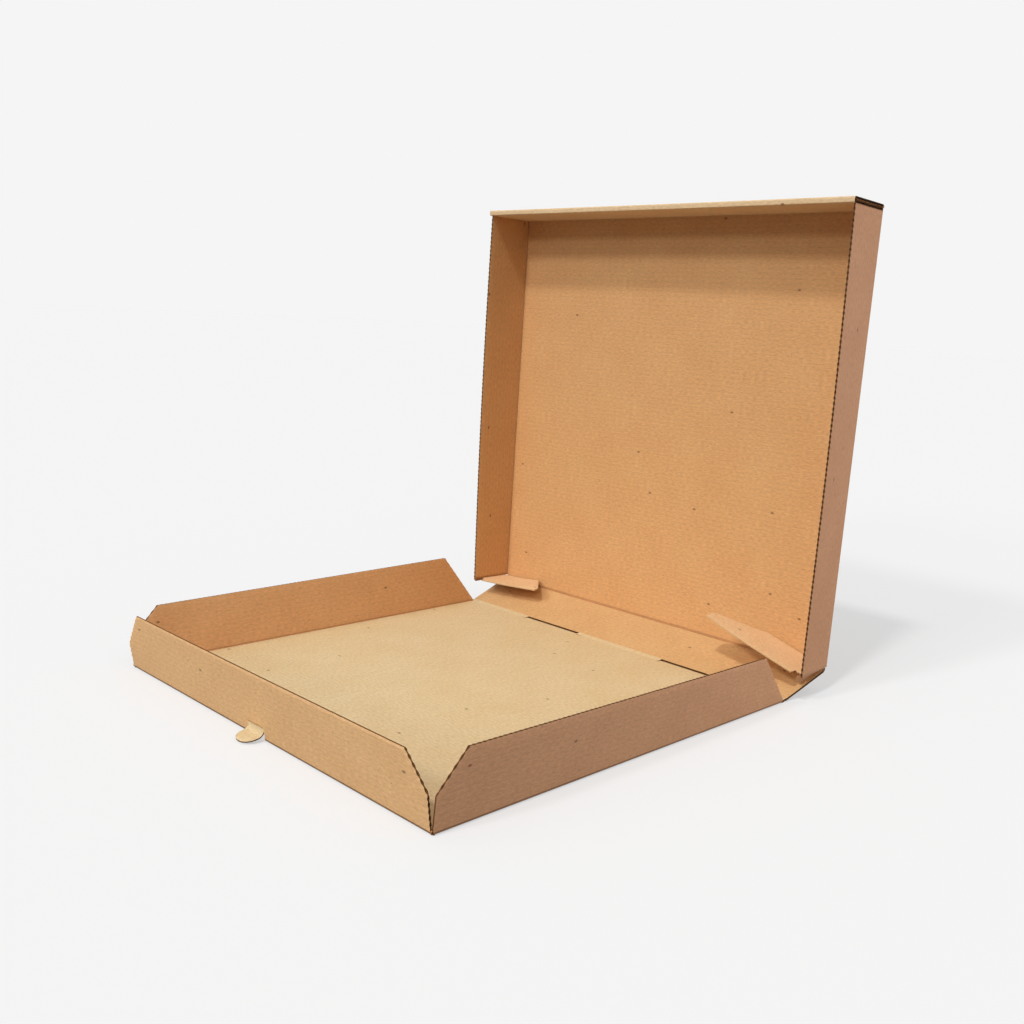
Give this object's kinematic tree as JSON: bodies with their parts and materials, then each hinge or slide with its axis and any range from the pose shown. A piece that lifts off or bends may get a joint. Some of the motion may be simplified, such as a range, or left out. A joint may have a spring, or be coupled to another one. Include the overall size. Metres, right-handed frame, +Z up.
{
  "type": "pizza box",
  "caption": "Square carryout box for a flat round pie, folded from corrugated board: a shallow tray with splayed walls and a thumb tab, and a deep lid on a hinged back wall, with tuck flaps.",
  "frame": {"origin": "centre of the floor panel, on its bottom face, which lies on the table", "axes": "+Z up out of the open tray, -Y towards the front wall with the thumb tab, +Y towards the back wall that carries the lid, +X to the right seen from the front"},
  "size_m": [0.316, 0.3667, 0.3248],
  "materials": {
    "kraft_tray": "matt kraft liner on fine-flute corrugated board",
    "kraft_lid": "matt kraft liner on fine-flute corrugated board, a little darker and redder inside the lid",
    "kraft_flap": "matt kraft liner on fine-flute corrugated board"
  },
  "bodies": {
    "floor": {"floor_panel": "kraft_tray"},
    "front_wall": {"front_wall": "kraft_tray"},
    "left_wall": {"left_wall": "kraft_tray"},
    "right_wall": {"right_wall": "kraft_tray"},
    "back_wall": {"back_wall": "kraft_tray"},
    "lid": {"lid": "kraft_lid"},
    "left_tuck_flap": {"left_tuck_flap": "kraft_flap"},
    "right_tuck_flap": {"right_tuck_flap": "kraft_flap"}
  },
  "joints": [
    {"name": "front_wall_fold", "type": "hinge", "parent": "floor", "child": "front_wall", "pos_m": [0, -0.1525, 0], "axis": [-1, 0, 0], "range_deg": [-81.6, 8.4]},
    {"name": "left_wall_fold", "type": "hinge", "parent": "floor", "child": "left_wall", "pos_m": [-0.1525, 0, 0], "axis": [0, 1, 0], "range_deg": [-85.6, 4.4]},
    {"name": "right_wall_fold", "type": "hinge", "parent": "floor", "child": "right_wall", "pos_m": [0.1525, 0, 0], "axis": [0, -1, 0], "range_deg": [-85.3, 4.7]},
    {"name": "back_wall_fold", "type": "hinge", "parent": "floor", "child": "back_wall", "pos_m": [0, 0.1525, 0], "axis": [1, 0, 0], "range_deg": [-17.9, 72.1]},
    {"name": "lid_fold", "type": "hinge", "parent": "back_wall", "child": "lid", "pos_m": [0, 0.19627, 0.01414], "axis": [1, 0, 0], "range_deg": [-71.1, 18.9]},
    {"name": "left_flap_fold", "type": "hinge", "parent": "lid", "child": "left_tuck_flap", "pos_m": [-0.1564, 0.19634, 0.01774], "axis": [0, 0.9998, -0.0175], "range_deg": [-58, 2]},
    {"name": "right_flap_fold", "type": "hinge", "parent": "lid", "child": "right_tuck_flap", "pos_m": [0.1564, 0.19634, 0.01774], "axis": [0, -0.9998, 0.0175], "range_deg": [-44, 16]}
  ]
}
